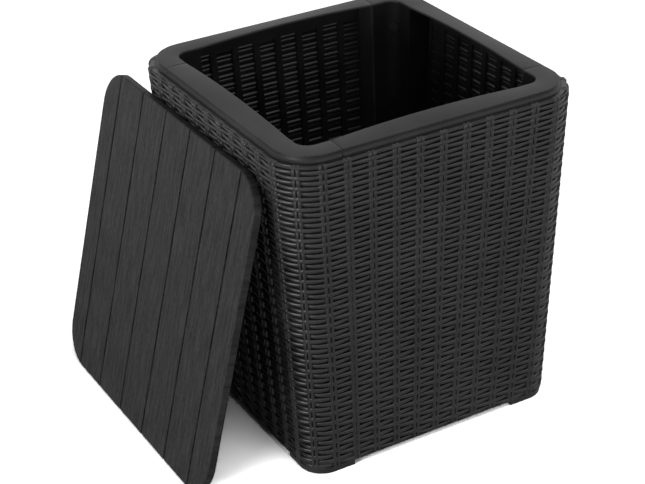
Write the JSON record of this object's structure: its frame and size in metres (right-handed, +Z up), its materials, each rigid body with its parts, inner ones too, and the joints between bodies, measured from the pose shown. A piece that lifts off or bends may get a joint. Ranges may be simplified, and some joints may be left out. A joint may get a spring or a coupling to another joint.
{
  "type": "resin storage side table",
  "caption": "Square storage side table with tapered woven-look moulded walls, a raised rim round an open well, and a plank-look lid that leans on one wall.",
  "frame": {"origin": "middle of the box on the floor, in the plane of its feet", "axes": "+Z up; the lid leans on the -X wall; -Y is the wall on the picture's right-hand side"},
  "size_m": [0.5344, 0.4809, 0.4584],
  "materials": {
    "wall_resin": "satin moulded resin, charcoal grey",
    "post_resin": "smooth moulded resin, charcoal grey",
    "pin_resin": "smooth moulded resin, charcoal grey",
    "floor_resin": "smooth moulded resin, dark charcoal grey",
    "lid_resin": "finely grained moulded resin, charcoal grey"
  },
  "bodies": {
    "box": {"wall_panel_front": "wall_resin", "wall_panel_right": "wall_resin", "wall_panel_back": "wall_resin", "wall_panel_left": "wall_resin", "corner_post_front": "post_resin", "corner_post_right": "post_resin", "corner_post_back": "post_resin", "corner_post_left": "post_resin", "corner_pins": "pin_resin", "floor_panel": "floor_resin"},
    "lid": {"lid_board": "lid_resin"}
  },
  "joints": [
    {"name": "lid_lift", "type": "slide", "parent": "box", "child": "lid", "axis": [-0.7071, 0, 0.7071], "range_m": [0, 0.35]}
  ]
}
